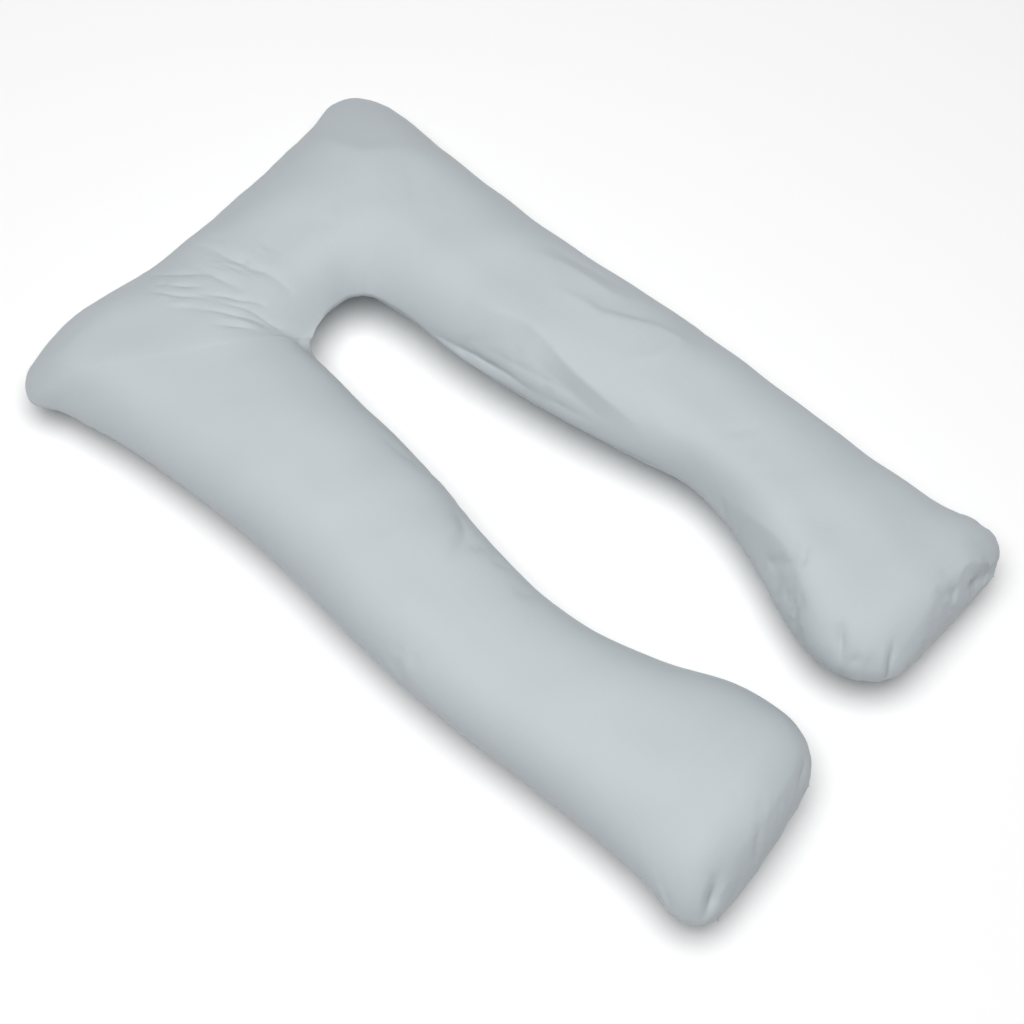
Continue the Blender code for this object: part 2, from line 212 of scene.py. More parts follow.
def panels(stations, turns):
    """The top and bottom panels, each an array of station, turn and x, y, z.

    A turn runs from 0 at the outer seam to pi at the inner seam, and the size of its cosine, x, is the share
    of the way from the crest to the seam. The top stands this share of the way up to the crown: 1 less x to
    the power of the level, all to the power of the slant. The underside goes down by a sine to the power
    UNDER_POWER while it goes in by 1 less the cosine to that power, and runs straight across its flat patch.
    In plan the seams are followed at the border, and the evened bends more and more towards the crest, by 1
    less x squared, to the power BEND_POWER. A foot's end seam bows out by a parabola.
    """
    seams, bends, crown, crest, sides, outer_height, inner_height, full, bow = sections(stations)
    outer_level, outer_slant, inner_level, inner_slant = (side[:, None] for side in sides)
    crown, crest, outer_height, inner_height, full = (
        part[:, None] for part in (crown, crest, outer_height, inner_height, full)
    )
    outer_half = turns <= np.pi / 2
    to_seam = np.abs(np.cos(turns))
    level = np.where(outer_half, outer_level, inner_level)
    slant = np.where(outer_half, outer_slant, inner_slant)
    top_across = np.where(outer_half, crest * (1 - to_seam), 1 - (1 - crest) * (1 - to_seam))
    up = np.clip(1 - to_seam**level, 0, 1) ** slant

    run = turns / np.pi
    outer_turn = np.clip(run / SIDE_SHARE, 0, 1) * np.pi / 2
    inner_turn = np.clip((1 - run) / SIDE_SHARE, 0, 1) * np.pi / 2
    along_flat = np.clip((run - SIDE_SHARE) / (1 - 2 * SIDE_SHARE), 0, 1)
    flat_from, flat_to = crest * (1 - FLAT_SHARE), crest + (1 - crest) * FLAT_SHARE
    under_across = (
        flat_from * (1 - np.cos(outer_turn) ** UNDER_POWER)
        + (flat_to - flat_from) * along_flat
        + (1 - flat_to) * np.cos(inner_turn) ** UNDER_POWER
    )
    under_across = top_across + (under_across - top_across) * full
    down = (np.sin(outer_turn) * np.sin(inner_turn)) ** UNDER_POWER

    outer, inner = (
        seam[:, None] + (bend - seam)[:, None] * ((1 - to_seam**2) ** BEND_POWER)[:, None]
        for seam, bend in zip(seams, bends)
    )
    found = []
    for across, rise in ((top_across, up), (under_across, -down)):
        seam = outer_height + (inner_height - outer_height) * across
        height = seam + np.where(rise > 0, crown - seam, seam) * full * rise
        plan = outer + (inner - outer) * across[:, :, None]
        plan[..., 1] -= bow[:, None] * 4 * across * (1 - across)
        found.append(np.concatenate([plan, height[:, :, None]], axis=2))
    return found


def fitted(points):
    """Points stretched in plan so that what was drawn between DRAWN_LOW and DRAWN_HIGH fills the box."""
    scale = np.append((high - low)[:2] / (DRAWN_HIGH - DRAWN_LOW), 1)
    shift = np.append((high + low)[:2] / 2 - scale[:2] * (DRAWN_HIGH + DRAWN_LOW) / 2, 0)
    return points * scale + shift


trial_top, trial_under = panels(np.linspace(0, LAST_STATION, 300), np.linspace(0, np.pi, 31))
print("crown", trial_top[..., 2].max().round(3), "lowest", trial_under[..., 2].min().round(3))

# %% [markdown]
# ## Where the cloth needs points
#
# The same surface is wanted twice: coarsely for the simulation and finely for the finished cover. Stations
# are therefore spread by the length of the cloth itself, measured along both seams and the crest, so that no
# quad is much longer than its neighbours. The finished cover also gets a few lines close beside the seam, so
# that the seam can be a narrow groove.

# %% Spread the stations and turns over the cloth
SIDE_RADIUS = 0.085   # of the cloth where it leaves the seam, to turn a distance into an angle
TRIAL_STATIONS = 3000   # with which the length of the cloth is measured
# Columns: station, how closely the finished stations lie there. They lie closest where the creases are fine.
CLOSENESS = np.array([
    (0.00, 1.3), (0.08, 1.2), (0.20, 0.7), (0.90, 0.7), (1.02, 1.4), (1.10, 2.2), (1.36, 2.2), (1.48, 1.1),
    (1.62, 0.8), (2.30, 0.8), (2.45, 1.0), (2.60, 1.1), (2.72, 1.5), (2.80, 1.5),
])


def spread(total, count, beside_seam):
    """Places from 0 to total: those close beside each end, and `count` even ones between them."""
    beside_seam = np.array(beside_seam)
    even = np.linspace(beside_seam[-1], total - beside_seam[-1], count)
    return np.concatenate([beside_seam[:-1], even, total - beside_seam[-2::-1]])


def cloth_grid(rings, columns, beside_seam=(0.0,)):
    """Stations and turns for a cover of about rings by columns points, with lines beside the seams.

    The stations are spread by the mean length of both seams and the crest, times the closeness wanted there.
    """
    dense = np.linspace(0, LAST_STATION, TRIAL_STATIONS)
    top, _ = panels(dense, np.array([0, np.pi / 2, np.pi]))
    along = np.linalg.norm(np.diff(top, axis=0), axis=2).mean(axis=1)
    along *= np.interp(dense[1:], *CLOSENESS.T)
    along = np.concatenate([[0], np.cumsum(along)])
    stations = np.interp(spread(along[-1], rings, beside_seam), along, dense)
    turns = spread(np.pi, columns, np.array(beside_seam) / SIDE_RADIUS)
    return stations, turns


def row_normals(panel, sign):
    """The panel's unit normals: the cross product of its two directions, turned outwards by the sign."""
    along, across = np.gradient(panel, axis=(0, 1))
    normal = np.cross(across, along) * sign
    return normal / np.maximum(np.linalg.norm(normal, axis=2, keepdims=True), 1e-9)


trial_stations, _ = cloth_grid(rings=99, columns=9)
print("of 99 stations,", (trial_stations < LAST_STATION / 2).sum(), "lie on the left half")

# %% [markdown]
# ## From arrays to a closed cover
#
# Top and bottom share their seam points, so the mesh is closed without merging anything. The underside is
# never seen closely and has half as many columns. Where it meets the top along a foot's end seam, its cells
# take in the top's extra point and have five corners. At a foot's corner the top's cell and the underside's
# have three points in common, so the top's is cut in two from the corner, or both could be cut along the
# same line later.

# %% Build a mesh from the two panels


def point_numbers(rings, columns):
    """The numbers of the top's points and of the underside's, each as a grid.

    The top's points are numbered row by row. The underside's inner points follow, and its border borrows the
    numbers of the top's seam points.
    """
    top = np.arange(rings * columns).reshape(rings, columns)
    half = columns // 2 + 1
    under = np.full((rings, half), -1)
    under[:, 0], under[:, -1] = top[:, 0], top[:, -1]
    under[0], under[-1] = top[0, ::2], top[-1, ::2]
    under[1:-1, 1:-1] = top.size + np.arange((rings - 2) * (half - 2)).reshape(rings - 2, half - 2)
    return top, under


def cells(grid):
    """The four corners of each cell of a grid, in the order that makes a cell of the top face up."""
    return np.stack([grid[:-1, :-1], grid[:-1, 1:], grid[1:, 1:], grid[1:, :-1]], axis=2)


def corner_halves(top_cells):
    """The top's cells at the four corners, each cut in two from the corner: eight faces of three corners."""
    ahead = top_cells[[0, -1], [0, -1]]   # where the cut joins the cell's first and third points
    across = top_cells[[0, -1], [-1, 0]]  # and where it joins the second and fourth
    return np.concatenate([
        ahead[:, [0, 1, 2]], ahead[:, [0, 2, 3]], across[:, [0, 1, 3]], across[:, [1, 2, 3]],
    ])


def cover_faces(rings, columns):
    """The point numbers at the corners of every face, in four groups.

    They are the top's whole cells, the halves of its corner cells, the underside's cells, and last the
    underside's cells along the two end seams, which have five corners.
    """
    top, under = point_numbers(rings, columns)
    top_cells = cells(top)
    whole = np.ones(top_cells.shape[:2], dtype=bool)
    whole[[0, 0, -1, -1], [0, -1, 0, -1]] = False
    under_cells = cells(under)[:, :, ::-1]
    first, last = under_cells[0], under_cells[-1]
    ends = np.concatenate([
        np.column_stack([first[:, :3], top[0, 1::2], first[:, 3]]),
        np.column_stack([last[:, 0], top[-1, 1::2], last[:, 1:]]),
    ])
    return top_cells[whole], corner_halves(top_cells), under_cells[1:-1].reshape(-1, 4), ends


def cover_points(top, under):
    """The points in the order that cover_faces numbers them; under has every second column of the top."""
    return np.concatenate([part.reshape(-1, part.shape[-1]) for part in (top, under[1:-1, 1:-1])])


def cover_object(name, top, under):
    """Sews the two panels into one closed, smooth mesh and puts it in the scene."""
    faces = [face for group in cover_faces(*top.shape[:2]) for face in group.tolist()]
    mesh = bpy.data.meshes.new(name)
    mesh.from_pydata(cover_points(top, under), [], faces)
    mesh.shade_smooth()
    piece = bpy.data.objects.new(name, mesh)
    bpy.context.scene.collection.objects.link(piece)
    return piece


faces_of_five = sum(len(group) for group in cover_faces(5, 5))
print("a cover of 5 by 5 points on top has", faces_of_five, "faces")

# %% [markdown]
# ## Let the cloth find its own shape
#
# A drawn section is too perfect. Here Blender's cloth is laid on the coarse cover, pinned along the seam and
# where it lies on the floor, and blown up by pressure. In some places it is cut a little larger than the
# shape it covers, and there it has to bulge and to buckle beside the seam, as a real cover does: on the
# inner sides, where the U bends, and at the ends of the feet. The same is done once more with a cover that
# is taut all over. The difference between the two is what the slack does. Of that, the even part is taken
# off again, because the fullness of each section is already drawn, and the bulges and buckles that are left
# are added to the shape.

# %% Blow up the cover
PRESSURE = 4.0
SLACK = 0.025         # the loosest cloth is cut this share larger than the drawn shape
STRETCH_STIFFNESS = 15
SHEAR_STIFFNESS = 5
BEND_STIFFNESS = 0.5
LAST_FRAME = 20
MOST_MOVE = 0.006     # metres: no bulge or buckle is higher than about this
ON_FLOOR = 0.001      # cloth below this height lies on the floor
EVEN_ROWS = 14        # of the coarse cover, to each side, over which the even part is found
TAUT_LEVELS = 12      # steps in which the tautness is given to the cloth
# Columns: station, slack at the outer seam and at the inner seam, from 0 for taut to 1 for the loosest.
SLACKNESS = np.array([
    (0.00, 0.25, 0.25), (0.10, 0.08, 0.12), (0.30, 0.00, 0.03), (0.50, 0.00, 0.06), (0.60, 0.00, 0.16),
    (0.72, 0.00, 0.06), (0.85, 0.00, 0.00), (1.05, 0.00, 0.00), (1.18, 0.04, 0.06), (1.30, 0.02, 0.10),
    (1.50, 0.00, 0.04), (1.63, 0.06, 0.04), (1.80, 0.00, 0.02), (2.05, 0.00, 0.05), (2.20, 0.00, 0.02),
    (2.35, 0.00, 0.05), (2.50, 0.00, 0.25), (2.60, 0.02, 0.36), (2.70, 0.12, 0.36), (2.80, 0.32, 0.40),
])


def tautness(stations, turns):
    """1 where the cloth is taut and 0 where it is loosest, changing evenly from one seam to the other."""
    outer, inner = smooth(SLACKNESS[:, 0], SLACKNESS[:, 1:], stations).T
    inwards = (1 - np.cos(turns)) / 2
    return np.clip(1 - outer[:, None] * (1 - inwards) - inner[:, None] * inwards, 0, 1)


def blown_up(top, under, taut):
    """How far pressure moves the cover's points, when it is taut where `taut` is 1."""
    piece = cover_object("cloth_trial", top, under)
    numbers, _ = point_numbers(*top.shape[:2])
    seam = np.concatenate([numbers[:, 0], numbers[:, -1], numbers[0], numbers[-1]])
    start = cover_points(top, under)
    held = np.union1d(seam, np.flatnonzero(start[:, 2] < ON_FLOOR))
    pins = piece.vertex_groups.new(name="held")
    pins.add(held.tolist(), 1, "REPLACE")
    tight = piece.vertex_groups.new(name="tight")
    levels = np.rint(cover_points(*(part[..., None] for part in taut))[:, 0] * TAUT_LEVELS)
    for level in range(TAUT_LEVELS + 1):
        tight.add(np.flatnonzero(levels == level).tolist(), level / TAUT_LEVELS, "REPLACE")
    cloth = piece.modifiers.new("Cloth", "CLOTH")
    cloth.point_cache.frame_start, cloth.point_cache.frame_end = 1, LAST_FRAME
    cloth.settings.quality = 5
    cloth.settings.mass = 0.3
    cloth.settings.tension_stiffness = STRETCH_STIFFNESS
    cloth.settings.compression_stiffness = STRETCH_STIFFNESS
    cloth.settings.shear_stiffness = SHEAR_STIFFNESS
    cloth.settings.bending_stiffness = BEND_STIFFNESS
    cloth.settings.use_pressure = True
    cloth.settings.uniform_pressure_force = PRESSURE
    cloth.settings.effector_weights.gravity = 0
    cloth.settings.shrink_min, cloth.settings.shrink_max = -SLACK, 0
    cloth.settings.vertex_group_shrink = tight.name
    cloth.settings.vertex_group_mass = pins.name
    cloth.collision_settings.use_collision = False
    scene = bpy.context.scene
    for number in range(1, LAST_FRAME + 1):
        scene.frame_set(number)
    evaluated = piece.evaluated_get(bpy.context.evaluated_depsgraph_get())
    found = np.empty(len(piece.data.vertices) * 3, np.float32)
    evaluated.data.vertices.foreach_get("co", found)
    bpy.data.objects.remove(piece)
    scene.frame_set(1)
    return found.reshape(-1, 3) - start


def uneven(moves):
    """The moves less their mean over EVEN_ROWS rows to each side, and no longer than about MOST_MOVE.

    The length left is MOST_MOVE times the hyperbolic tangent of the length in MOST_MOVEs, so that a small
    move keeps its length and a large one comes close to MOST_MOVE.
    """
    width = 2 * EVEN_ROWS + 1
    sums = np.cumsum(np.pad(moves, ((EVEN_ROWS + 1, EVEN_ROWS), (0, 0), (0, 0)), mode="edge"), axis=0)
    moves = moves - (sums[width:] - sums[:-width]) / width
    length = np.linalg.norm(moves, axis=2, keepdims=True)
    print("buckles: mean", length.mean().round(4), "most", length.max().round(4), "metres")
    return moves * MOST_MOVE * np.tanh(length / MOST_MOVE) / np.maximum(length, 1e-9)


def from_slack(top, under, taut):
    """How far the slack moves the cloth from the drawn panels, as two arrays like them."""
    loose = blown_up(top, under, taut)
    tight = blown_up(top, under, [np.ones_like(part) for part in taut])
    top_moves, inner_moves = np.split(loose - tight, [top[..., 0].size])
    top_moves = uneven(top_moves.reshape(top.shape))
    under_moves = np.zeros_like(under)
    under_moves[1:-1, 1:-1] = uneven(inner_moves.reshape(len(top) - 2, -1, 3))
    return top_moves, under_moves


coarse_stations, coarse_turns = cloth_grid(rings=341, columns=47)
coarse_top, coarse_under = (fitted(panel) for panel in panels(coarse_stations, coarse_turns))
coarse_under = coarse_under[:, ::2]
coarse_taut = [tautness(coarse_stations, turns) for turns in (coarse_turns, coarse_turns[::2])]
top_moves, under_moves = from_slack(coarse_top, coarse_under, coarse_taut)

# %% [markdown]
# ## The fine cover
#
# The finished cover is drawn again on a finer grid, and what the cloth did is added to it by the same smooth
# curves, first along the stations and then across the turns.

# %% Lay the cloth's moves on a fine grid
BESIDE_SEAM = (0.0, 0.001, 0.0023, 0.0047, 0.0085)   # metres from the seam


def finer(moves, from_turns, stations, turns):
    """Moves known on the coarse stations and the given turns, on the finer ones."""
    rows = smooth(coarse_stations, moves.reshape(len(moves), -1), stations)
    rows = rows.reshape(len(stations), len(from_turns), 3).transpose(1, 0, 2)
    columns = smooth(from_turns, rows.reshape(len(from_turns), -1), turns)
    return columns.reshape(len(turns), len(stations), 3).transpose(1, 0, 2)


stations, turns = cloth_grid(rings=679, columns=89, beside_seam=BESIDE_SEAM)
top, under = (fitted(panel) for panel in panels(stations, turns))
under = under[:, ::2]
top += finer(top_moves, coarse_turns, stations, turns)
under += finer(under_moves, coarse_turns[::2], stations, turns[::2])
print("fine cover", top.shape[:2], "and", under.shape[:2], "points")

# %% [markdown]
# ## Creases, listed one by one
#
# The creases that give this pillow its character are placed one by one. Each is a path over the cloth with a
# rise, in millimetres: below 0 it is a valley, above 0 a ridge. A crease in stuffed cloth is seldom even, so
# it has a rise at its start, middle and end, and it falls away faster on one side than on the other. A fan
# of them runs from the head's edge to the inner corner, where the cloth of the bend is drawn together. The
# right leg has long flat facets, and its foot has pleats at the corners.

# %% The creases
# Columns: rise at the start, middle and end, softness of the line, and reach to its left and to its right,
# all in millimetres; and the points of its path in plan, in metres.
HEAD_CREASES = [
    (-1.6, -3.2, -0.8, 1.0, 5, 4, [
        (-0.148, 0.601), (-0.139, 0.582), (-0.129, 0.563), (-0.118, 0.548), (-0.109, 0.533), (-0.103, 0.520),
    ]),
    (0.2, 1.0, 0.2, 2.0, 5, 5, [(-0.154, 0.596), (-0.144, 0.578), (-0.136, 0.565)]),
    (-0.8, -2.6, -0.4, 1.2, 4, 4, [(-0.131, 0.609), (-0.127, 0.603), (-0.123, 0.596)]),
    (-1.0, -4.2, -1.0, 1.2, 5, 5, [(-0.124, 0.592), (-0.113, 0.578), (-0.103, 0.563), (-0.094, 0.549)]),
    (-2.0, -4.0, -2.4, 1.2, 7, 5, [
        (-0.112, 0.630), (-0.103, 0.614), (-0.090, 0.593), (-0.078, 0.575), (-0.071, 0.565),
    ]),
    (-1.4, -3.6, -1.0, 1.2, 6, 5, [
        (-0.062, 0.584), (-0.064, 0.567), (-0.064, 0.554), (-0.062, 0.539), (-0.059, 0.520), (-0.057, 0.500),
    ]),
    (0.2, 1.5, 0.3, 2.0, 7, 5, [(-0.052, 0.572), (-0.050, 0.552), (-0.053, 0.532)]),
    (-0.8, -3.6, -2.4, 1.0, 5, 4.5, [
        (-0.105, 0.541), (-0.099, 0.531), (-0.090, 0.518), (-0.081, 0.507), (-0.075, 0.494), (-0.070, 0.485),
        (-0.062, 0.476), (-0.055, 0.466), (-0.050, 0.457),
    ]),
    (-0.8, -3.0, -2.4, 1.0, 4, 4, [
        (-0.096, 0.505), (-0.088, 0.488), (-0.081, 0.477), (-0.075, 0.466), (-0.071, 0.457), (-0.066, 0.441),
        (-0.063, 0.427), (-0.058, 0.415),
    ]),
    (-1.0, -3.2, -2.4, 1.0, 5, 4, [
        (-0.129, 0.520), (-0.120, 0.507), (-0.109, 0.490), (-0.101, 0.475), (-0.092, 0.462), (-0.084, 0.451),
        (-0.077, 0.440), (-0.073, 0.428),
    ]),
    (0.4, 2.2, 1.0, 1.5, 4, 4, [(-0.106, 0.467), (-0.100, 0.457), (-0.093, 0.445), (-0.087, 0.434)]),
    (-1.0, -3.0, -1.2, 1.0, 5, 4, [
        (-0.131, 0.476), (-0.122, 0.465), (-0.112, 0.454), (-0.104, 0.444), (-0.099, 0.437),
    ]),
    (0.2, 1.2, 0.2, 1.5, 4, 4, [(-0.119, 0.480), (-0.110, 0.471)]),
    (-0.3, -1.8, -0.4, 2.0, 6, 6, [(-0.156, 0.560), (-0.142, 0.543), (-0.130, 0.526), (-0.120, 0.512)]),
    (0.2, 1.6, 0.3, 1.5, 5, 5, [(-0.151, 0.565), (-0.140, 0.552), (-0.130, 0.540)]),
    (-2.0, -6.0, -1.6, 2.0, 8, 10, [
        (-0.026, 0.616), (-0.022, 0.580), (-0.020, 0.556), (-0.016, 0.537), (-0.013, 0.518), (-0.009, 0.507),
        (-0.004, 0.494), (-0.002, 0.480), (0.000, 0.462), (0.000, 0.447),
    ]),
    (-0.6, -1.8, -0.3, 1.5, 6, 5, [(-0.007, 0.625), (-0.004, 0.605), (0.000, 0.580)]),
    (-0.3, -2.2, -0.3, 1.0, 4, 3, [(-0.018, 0.537), (-0.011, 0.535), (-0.007, 0.526)]),
    (0.0, -6.0, -10.0, 10.0, 20, 20, [(-0.080, 0.470), (-0.062, 0.425), (-0.045, 0.380)]),
    (0.0, -1.5, 0.0, 4.0, 8, 8, [(0.128, 0.510), (0.126, 0.480), (0.133, 0.450)]),
    (1.5, 5.0, 1.5, 6.0, 28, 60, [(-0.314, 0.585), (-0.320, 0.615), (-0.324, 0.645), (-0.316, 0.672)]),
    (4.0, 11.0, 4.0, 7.0, 32, 70, [
        (0.257, 0.630), (0.254, 0.590), (0.256, 0.550), (0.265, 0.520), (0.288, 0.500), (0.316, 0.480),
        (0.336, 0.455),
    ]),
    (0.0, -1.2, 0.0, 4.0, 8, 8, [(0.040, 0.545), (0.036, 0.520), (0.040, 0.495)]),
]
RIGHT_LEG_CREASES = [
    (-1.0, -4.8, -1.2, 2.0, 5, 7, [
        (0.100, 0.235), (0.102, 0.205), (0.1045, 0.180), (0.107, 0.150), (0.1105, 0.120), (0.1135, 0.090),
        (0.1155, 0.060), (0.118, 0.030),
    ]),
    (-0.4, -2.0, -0.6, 2.0, 6, 6, [(0.119, 0.025), (0.124, -0.005), (0.128, -0.035), (0.134, -0.065)]),
    (-0.3, -1.2, -0.4, 1.2, 4, 4, [(0.121, 0.150), (0.128, 0.100), (0.135, 0.045), (0.142, -0.010)]),
    (1.5, 7.0, 6.0, 2.0, 60, 28, [
        (0.167, 0.215), (0.169, 0.180), (0.175, 0.150), (0.184, 0.125), (0.186, 0.095),
    ]),
    (4.5, 9.5, 3.0, 1.5, 60, 14, [
        (0.186, 0.095), (0.181, 0.055), (0.173, 0.020), (0.169, -0.015), (0.168, -0.045), (0.166, -0.085),
        (0.166, -0.125),
    ]),
    (0.5, 8.0, 5.0, 2.0, 12, 55, [
        (0.257, 0.125), (0.261, 0.100), (0.266, 0.075), (0.269, 0.050), (0.270, 0.030), (0.280, 0.008),
        (0.290, -0.012), (0.300, -0.032), (0.309, -0.052), (0.315, -0.075), (0.318, -0.095),
    ]),
    (-0.5, -2.4, -0.5, 3.0, 8, 8, [
        (0.280, 0.030), (0.292, 0.004), (0.304, -0.018), (0.314, -0.038), (0.324, -0.058),
    ]),
    (1.0, 8.0, 2.0, 2.0, 14, 34, [
        (0.292, 0.185), (0.303, 0.158), (0.309, 0.130), (0.311, 0.100), (0.313, 0.070), (0.317, 0.042),
        (0.326, 0.018), (0.340, 0.000),
    ]),
    (4.0, 5.0, 1.0, 2.0, 14, 35, [
        (0.318, -0.098), (0.300, -0.100), (0.280, -0.096), (0.260, -0.085), (0.246, -0.071), (0.232, -0.056),
    ]),
    (0.0, -1.6, 0.0, 6.0, 15, 15, [(0.190, -0.160), (0.203, -0.182), (0.215, -0.205)]),
    (-0.5, -3.2, -0.5, 6.0, 12, 10, [
        (0.152, 0.060), (0.148, 0.020), (0.146, -0.020), (0.145, -0.060), (0.147, -0.100),
    ]),
    (-0.5, -3.6, -0.5, 6.0, 16, 12, [(0.330, 0.175), (0.336, 0.120), (0.341, 0.070), (0.352, 0.020)]),
]
RIGHT_FOOT_CREASES = [
    (0.5, 5.5, 4.5, 2.0, 50, 20, [
        (0.160, -0.300), (0.155, -0.350), (0.151, -0.385), (0.148, -0.405), (0.143, -0.430), (0.131, -0.457),
        (0.119, -0.478), (0.106, -0.496), (0.094, -0.509),
    ]),
    (-0.5, -2.2, -1.5, 6.0, 14, 14, [(0.130, -0.385), (0.122, -0.420), (0.104, -0.462), (0.082, -0.495)]),
    (-1.5, -3.5, -1.0, 1.5, 8, 4, [(0.100, -0.499), (0.088, -0.508), (0.072, -0.511)]),
    (-2.5, -5.5, -0.8, 1.5, 7, 5, [(0.060, -0.604), (0.067, -0.598), (0.078, -0.589), (0.096, -0.576)]),
    (-1.2, -2.6, 0.0, 2.0, 6, 6, [(0.057, -0.621), (0.066, -0.624), (0.078, -0.630)]),
    (-0.8, -2.0, -0.4, 1.5, 5, 5, [(0.064, -0.648), (0.076, -0.643), (0.090, -0.640)]),
    (-6.0, -6.5, -0.8, 1.0, 4, 4, [(0.088, -0.677), (0.098, -0.669), (0.109, -0.662), (0.124, -0.652)]),
    (1.2, 2.2, 0.4, 1.5, 6, 4, [(0.083, -0.666), (0.096, -0.655), (0.112, -0.644)]),
    (1.0, 2.5, 1.0, 4.0, 30, 8, [(0.130, -0.668), (0.200, -0.662), (0.280, -0.658)]),
    (-3.0, -9.5, -5.0, 8.0, 14, 6, [(0.278, -0.689), (0.301, -0.692), (0.325, -0.696)]),
    (1.5, 5.0, 3.0, 1.5, 12, 5, [
        (0.262, -0.672), (0.284, -0.664), (0.302, -0.665), (0.318, -0.675), (0.334, -0.686), (0.348, -0.692),
    ]),
    (-0.5, -3.0, -1.0, 3.0, 9, 9, [(0.322, -0.645), (0.344, -0.660), (0.366, -0.676)]),
    (-0.8, -3.5, -0.8, 1.5, 6, 5, [(0.242, -0.681), (0.255, -0.675), (0.262, -0.667)]),
    (-0.8, -2.6, -0.5, 2.0, 5, 5, [(0.378, -0.614), (0.370, -0.606), (0.360, -0.597)]),
]
LEFT_LEG_CREASES = [
    (-0.8, -4.2, -2.5, 1.5, 6, 6, [(-0.174, -0.073), (-0.157, -0.083), (-0.140, -0.092)]),
    (-0.6, -3.0, -1.5, 1.5, 5, 5, [(-0.165, -0.113), (-0.157, -0.124), (-0.151, -0.133)]),
    (-1.0, -5.5, -4.0, 4.0, 9, 16, [(-0.208, -0.068), (-0.182, -0.062), (-0.156, -0.052), (-0.136, -0.028)]),
    (-0.6, -3.6, -2.4, 4.0, 12, 12, [(-0.190, -0.172), (-0.173, -0.184), (-0.155, -0.198)]),
    (-0.5, -1.6, -0.5, 3.0, 8, 8, [(-0.107, 0.160), (-0.110, 0.110), (-0.112, 0.060)]),
]
LEFT_FOOT_CREASES = [
    (0.5, 2.5, 1.5, 4.0, 30, 8, [(-0.330, -0.672), (-0.250, -0.670), (-0.150, -0.660), (-0.110, -0.648)]),
    (-0.5, -3.5, -1.0, 3.0, 7, 7, [(-0.150, -0.678), (-0.125, -0.670), (-0.105, -0.658)]),
    (0.5, 2.6, 0.6, 1.5, 12, 4, [(-0.392, -0.678), (-0.370, -0.670), (-0.348, -0.662)]),
    (-4.0, -10.0, -4.0, 5.0, 10, 5, [
        (-0.382, -0.690), (-0.366, -0.687), (-0.350, -0.680), (-0.343, -0.674),
    ]),
    (1.0, 2.4, 0.6, 2.0, 5, 5, [(-0.354, -0.691), (-0.342, -0.689), (-0.328, -0.688)]),
]
CREASES = HEAD_CREASES + RIGHT_LEG_CREASES + RIGHT_FOOT_CREASES + LEFT_LEG_CREASES + LEFT_FOOT_CREASES
MM_PER_METRE = 1000
PATH_STEP = 0.0015    # metres from one place on a path to the next
FADED = 6             # a crease isn't worked out beyond this many times its reach, where it has faded away


def path_through(points, step):
    """A smooth path through the points, with a place about every step, and how far along each place is."""
    knots = np.concatenate([[0], np.cumsum(np.linalg.norm(np.diff(points, axis=0), axis=1))])
    places = np.linspace(0, knots[-1], max(int(knots[-1] / step), 4))
    return smooth(knots, points, places), places / knots[-1]


def crease_rise(cloth, crease):
    """How far one crease lifts each of the cloth's points, in metres.

    On the path it is the crease's own rise, and with each reach of distance it falls to 37 in 100, as an
    exponential does. The softness rounds the line off: the distance counts as the root of its square and the
    softness squared together, less the softness. The reach goes from that of the right side to that of the
    left as the point goes round the path.
    """
    *rises, soft, left, right, points = crease
    points = np.array(points)
    nearest = np.linalg.norm(points[:, None] - cloth[None, :, :2], axis=2).argmin(axis=1)
    path, along = path_through(np.column_stack([points, cloth[nearest, 2]]), PATH_STEP)
    rise = smooth(np.array([0, 0.5, 1]), np.array(rises)[:, None], along)[:, 0]
    soft, left, right = np.array([soft, left, right]) / MM_PER_METRE

    margin = FADED * max(left, right) + soft
    inside = np.all((cloth > path.min(axis=0) - margin) & (cloth < path.max(axis=0) + margin), axis=1)
    apart = cloth[inside][:, None] - path
    distance = np.linalg.norm(apart, axis=2)
    place = distance.argmin(axis=1)
    rows = np.arange(len(place))
    apart, distance = apart[rows, place], distance[rows, place]
    heading = np.gradient(path, axis=0)[place]
    heading /= np.linalg.norm(heading, axis=1, keepdims=True)
    leftness = heading[:, 0] * apart[:, 1] - heading[:, 1] * apart[:, 0]
    leftness = np.clip(leftness / np.maximum(distance, 1e-6), -1, 1)
    reach = (left + right) / 2 + (left - right) / 2 * leftness
    lifted = np.zeros(len(cloth))
    lifted[inside] = rise[place] / MM_PER_METRE * np.exp(-(np.sqrt(distance**2 + soft**2) - soft) / reach)
    return lifted


print(len(CREASES), "creases,", len(HEAD_CREASES), "of them at the head")

# %% [markdown]
# ## The seam and the filling
#
# Cloth sewn from the inside meets in a narrow groove, because the filling presses it out on both sides. The
# thread is a little shorter than the cloth, so small puckers stand square to the seam, most at the corners.
# And no fibre filling is even: the whole cover swells and sinks by a millimetre or two.

# %% Groove, puckers and lumps
GROOVE_DEPTH = 0.0010
GROOVE_WIDTH = 0.0022
PUCKER_REACH = 0.016     # a pucker dies away over this distance from the seam
PUCKER_START = 0.002     # and it starts within this distance
LUMP_RISE = 0.0009
EASE_FROM_SEAM = 0.006   # creases and lumps fade within this distance of the seam
EASE_FROM_FLOOR = 0.030  # lumps and puckers fade within this height of the floor
